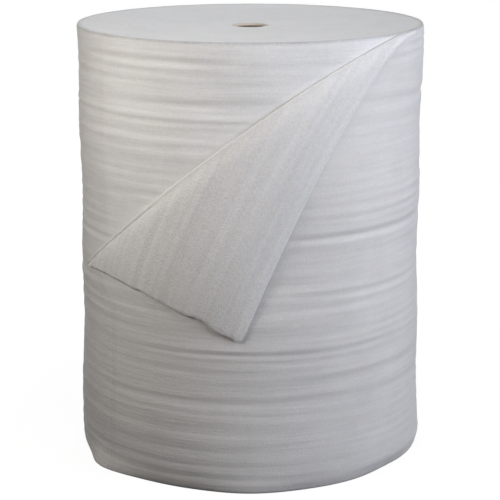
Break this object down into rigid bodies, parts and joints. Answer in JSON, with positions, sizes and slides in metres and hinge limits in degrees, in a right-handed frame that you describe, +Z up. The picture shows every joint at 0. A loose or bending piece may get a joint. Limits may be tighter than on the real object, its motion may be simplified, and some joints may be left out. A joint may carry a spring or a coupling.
{
  "type": "foam wrap roll",
  "caption": "Roll of white polyethylene foam wrap on a cardboard core, standing on its end, the corner of its outer turn folded over to the front.",
  "frame": {"origin": "on the axis of the core, at its lower end, in the plane the roll stands on", "axes": "+Z up along the core, -Y towards the front, where the corner of the outer turn hangs, +X to the right as seen from the front"},
  "size_m": [0.8141, 0.8239, 1.005],
  "materials": {
    "foam": "milky closed-cell polyethylene foam, soft and finely celled",
    "cardboard": "matt, spiral wound"
  },
  "bodies": {
    "root": {"foam_web": "foam", "core_tube": "cardboard"}
  },
  "joints": []
}
